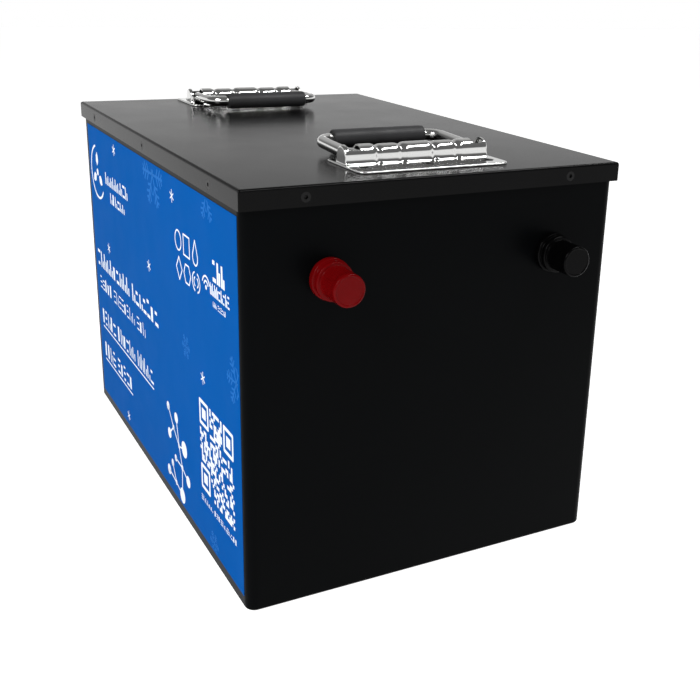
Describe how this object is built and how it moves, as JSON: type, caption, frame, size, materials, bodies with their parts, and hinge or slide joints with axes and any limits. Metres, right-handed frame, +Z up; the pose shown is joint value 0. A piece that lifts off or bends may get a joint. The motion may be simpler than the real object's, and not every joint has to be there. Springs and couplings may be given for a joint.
{
  "type": "battery pack",
  "caption": "Steel-cased rechargeable battery pack with screwed lid, two folding lifting handles, a side label and two stud terminals under pull-off caps.",
  "frame": {"origin": "centre of the case footprint, on the floor", "axes": "+Z up; -Y out of the end that carries the two terminals; the label is on the -X side; +X to the right seen from the terminal end"},
  "size_m": [0.272, 0.431, 0.2917],
  "materials": {
    "case_paint": "satin black powder coat, fine texture",
    "lid_paint": "satin black powder coat, smoother and glossier than the case",
    "label_film": "printed vinyl film, satin",
    "handle_chrome": "bright plated steel",
    "grip_rubber": "satin black rubber sleeve",
    "black_fastener": "black oxide",
    "zinc_steel": "zinc plated",
    "spring_steel": "drawn wire",
    "red_plastic": "moulded, satin gloss",
    "black_plastic": "moulded, satin gloss",
    "brass": "turned",
    "cell_wrap": "aluminium can in a blue insulating film",
    "copper_bar": "nickel plated copper",
    "epoxy_board": "glass epoxy sheet",
    "foam": "closed cell foam",
    "heater_silicone": "silicone heater sheet",
    "plate_aluminium": "rolled plate",
    "board_green": "potted circuit board",
    "red_lead": "silicone lead",
    "black_lead": "silicone lead"
  },
  "bodies": {
    "pack": {"case_tub": "case_paint", "lid": "lid_paint", "lid_seal": "foam", "lid_rivet_nuts": "zinc_steel", "lid_screws": "black_fastener", "side_label": "label_film", "cell_busbars": "copper_bar", "busbar_nuts": "zinc_steel", "cell_spacers": "epoxy_board", "cell_end_plates": "plate_aluminium", "compression_straps": "zinc_steel", "base_pad": "foam", "heater_film": "heater_silicone", "rear_pad": "foam", "top_board": "epoxy_board", "top_foam": "foam", "bms_bracket": "zinc_steel", "bms_heat_plate": "plate_aluminium", "bms_module": "board_green", "bms_screws": "zinc_steel", "bluetooth_module": "black_plastic", "positive_cable": "red_lead", "negative_cables": "black_lead", "sense_harness": "black_lead", "handle_screws": "black_fastener", "handle_nuts": "zinc_steel", "terminal_inner_bushes": "black_plastic", "terminal_nuts": "zinc_steel", "front_handle_plate": "handle_chrome", "front_handle_spring": "spring_steel", "front_handle_backing": "zinc_steel", "rear_handle_plate": "handle_chrome", "rear_handle_spring": "spring_steel", "rear_handle_backing": "zinc_steel", "positive_terminal_collar": "red_plastic", "positive_terminal_stud": "brass", "negative_terminal_collar": "black_plastic", "negative_terminal_stud": "brass", "cell_01": "cell_wrap", "cell_02": "cell_wrap", "cell_03": "cell_wrap", "cell_04": "cell_wrap", "cell_05": "cell_wrap", "cell_06": "cell_wrap", "cell_07": "cell_wrap", "cell_08": "cell_wrap", "cell_09": "cell_wrap", "cell_10": "cell_wrap", "cell_11": "cell_wrap", "cell_12": "cell_wrap", "cell_13": "cell_wrap", "cell_14": "cell_wrap", "cell_15": "cell_wrap", "cell_16": "cell_wrap"},
    "front_bail": {"front_handle_bail": "handle_chrome", "front_handle_grip": "grip_rubber"},
    "rear_bail": {"rear_handle_bail": "handle_chrome", "rear_handle_grip": "grip_rubber"},
    "positive_cap": {"positive_terminal_cap": "red_plastic"},
    "negative_cap": {"negative_terminal_cap": "black_plastic"}
  },
  "joints": [
    {"name": "front_bail_hinge", "type": "hinge", "parent": "pack", "child": "front_bail", "pos_m": [0.003, -0.153, 0.2832], "axis": [1, 0, 0], "range_deg": [0, 90], "stiffness_Nm_per_rad": 0.12, "springref_deg": -28.65},
    {"name": "rear_bail_hinge", "type": "hinge", "parent": "pack", "child": "rear_bail", "pos_m": [0.003, 0.163, 0.2832], "axis": [-1, 0, 0], "range_deg": [0, 90], "stiffness_Nm_per_rad": 0.12, "springref_deg": -28.65},
    {"name": "positive_cap_slide", "type": "slide", "parent": "pack", "child": "positive_cap", "axis": [0, -1, 0], "range_m": [0, 0.03]},
    {"name": "negative_cap_slide", "type": "slide", "parent": "pack", "child": "negative_cap", "axis": [0, -1, 0], "range_m": [0, 0.03]}
  ]
}
